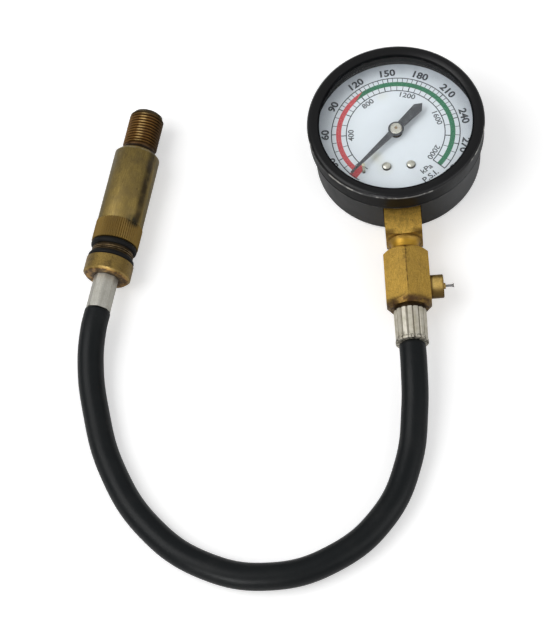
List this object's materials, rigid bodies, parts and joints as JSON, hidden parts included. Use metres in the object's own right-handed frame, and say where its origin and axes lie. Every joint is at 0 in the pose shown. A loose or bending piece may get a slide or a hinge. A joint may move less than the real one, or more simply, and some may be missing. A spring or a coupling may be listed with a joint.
{
  "type": "compression gauge",
  "caption": "Round dial pressure gauge on a brass stem and hexagon release valve, with a crimped rubber hose and a brass spark plug adapter.",
  "frame": {"origin": "middle of the gauge case's flat back, on the surface that the part lies on", "axes": "+Z out of the dial, -Y along the stem towards the hose, +X to the right of the dial where the release pin stands out"},
  "size_m": [0.1612, 0.2095, 0.029],
  "materials": {
    "black_paint": "satin black enamel",
    "window": "clear",
    "rubber": "matte black",
    "white_enamel": "white enamel with printed scales",
    "charcoal_paint": "matte",
    "nickel": "dull nickel plate",
    "steel": "plain",
    "brass": "brushed brass",
    "aged_brass": "tarnished brass"
  },
  "bodies": {
    "gauge": {"gauge_case": "black_paint", "bezel": "black_paint", "lens": "window", "lens_gasket": "rubber", "dial_plate": "white_enamel", "dial_screws": "nickel", "stop_pin": "steel", "hairspring": "steel", "hairspring_stud": "brass", "bourdon_tube": "brass", "movement_bottom_plate": "brass", "movement_top_plate": "brass", "movement_pillars": "brass", "pillar_screws": "nickel", "movement_screws": "nickel", "case_screws": "steel", "socket": "brass", "valve_body": "brass", "valve_stem": "brass", "valve_core": "brass", "valve_spring": "steel", "hose_nipple": "brass", "near_ferrule": "nickel", "hose": "rubber", "far_ferrule": "nickel", "hose_end": "aged_brass", "o_rings": "rubber", "adapter": "aged_brass", "check_core": "brass", "check_spring": "steel"},
    "pointer_set": {"pointer": "charcoal_paint", "pointer_hub": "nickel", "pinion_arbor": "steel", "hairspring_collet": "brass"},
    "sector": {"sector_gear": "brass", "sector_arbor": "steel", "link_screw": "steel"},
    "link": {"link": "brass"},
    "tube_tip": {"tube_tip": "brass", "tip_pin": "steel"},
    "release_pin": {"valve_pin": "steel", "valve_seal": "rubber"},
    "check_pin": {"check_pin": "steel", "check_seal": "rubber"}
  },
  "joints": [
    {"name": "pointer_sweep", "type": "hinge", "parent": "gauge", "child": "pointer_set", "pos_m": [0, 0, 0.02], "axis": [0, 0, -1], "range_deg": [0, 269], "stiffness_Nm_per_rad": 0.0000005, "deforming": ["hairspring"]},
    {"name": "sector_swing", "type": "hinge", "parent": "gauge", "child": "sector", "pos_m": [0.01198, -0.0106, 0.011], "axis": [0, 0, 1], "range_deg": [0, 30]},
    {"name": "link_turn", "type": "hinge", "parent": "sector", "child": "link", "pos_m": [0.01597, -0.01362, 0.012], "axis": [0, 0, 1], "range_deg": [-30, 0]},
    {"name": "tip_travel", "type": "slide", "parent": "gauge", "child": "tube_tip", "axis": [0.3787, 0.9255, 0], "range_m": [0, 0.00258], "stiffness_N_per_m": 2000, "deforming": ["bourdon_tube"]},
    {"name": "release_press", "type": "slide", "parent": "gauge", "child": "release_pin", "axis": [-1, 0, 0], "range_m": [0, 0.001], "stiffness_N_per_m": 600, "springref_m": -0.0005, "deforming": ["valve_spring"]},
    {"name": "check_lift", "type": "slide", "parent": "gauge", "child": "check_pin", "axis": [-0.225, -0.9744, 0], "range_m": [0, 0.001], "stiffness_N_per_m": 300, "springref_m": -0.0005, "deforming": ["check_spring"]}
  ],
  "couplings": [
    {"joint": "pointer_sweep", "follows": "tip_travel", "rad_per_m": 1820.6},
    {"joint": "sector_swing", "follows": "tip_travel", "rad_per_m": 202.29},
    {"joint": "link_turn", "follows": "tip_travel", "rad_per_m": -202.29}
  ]
}
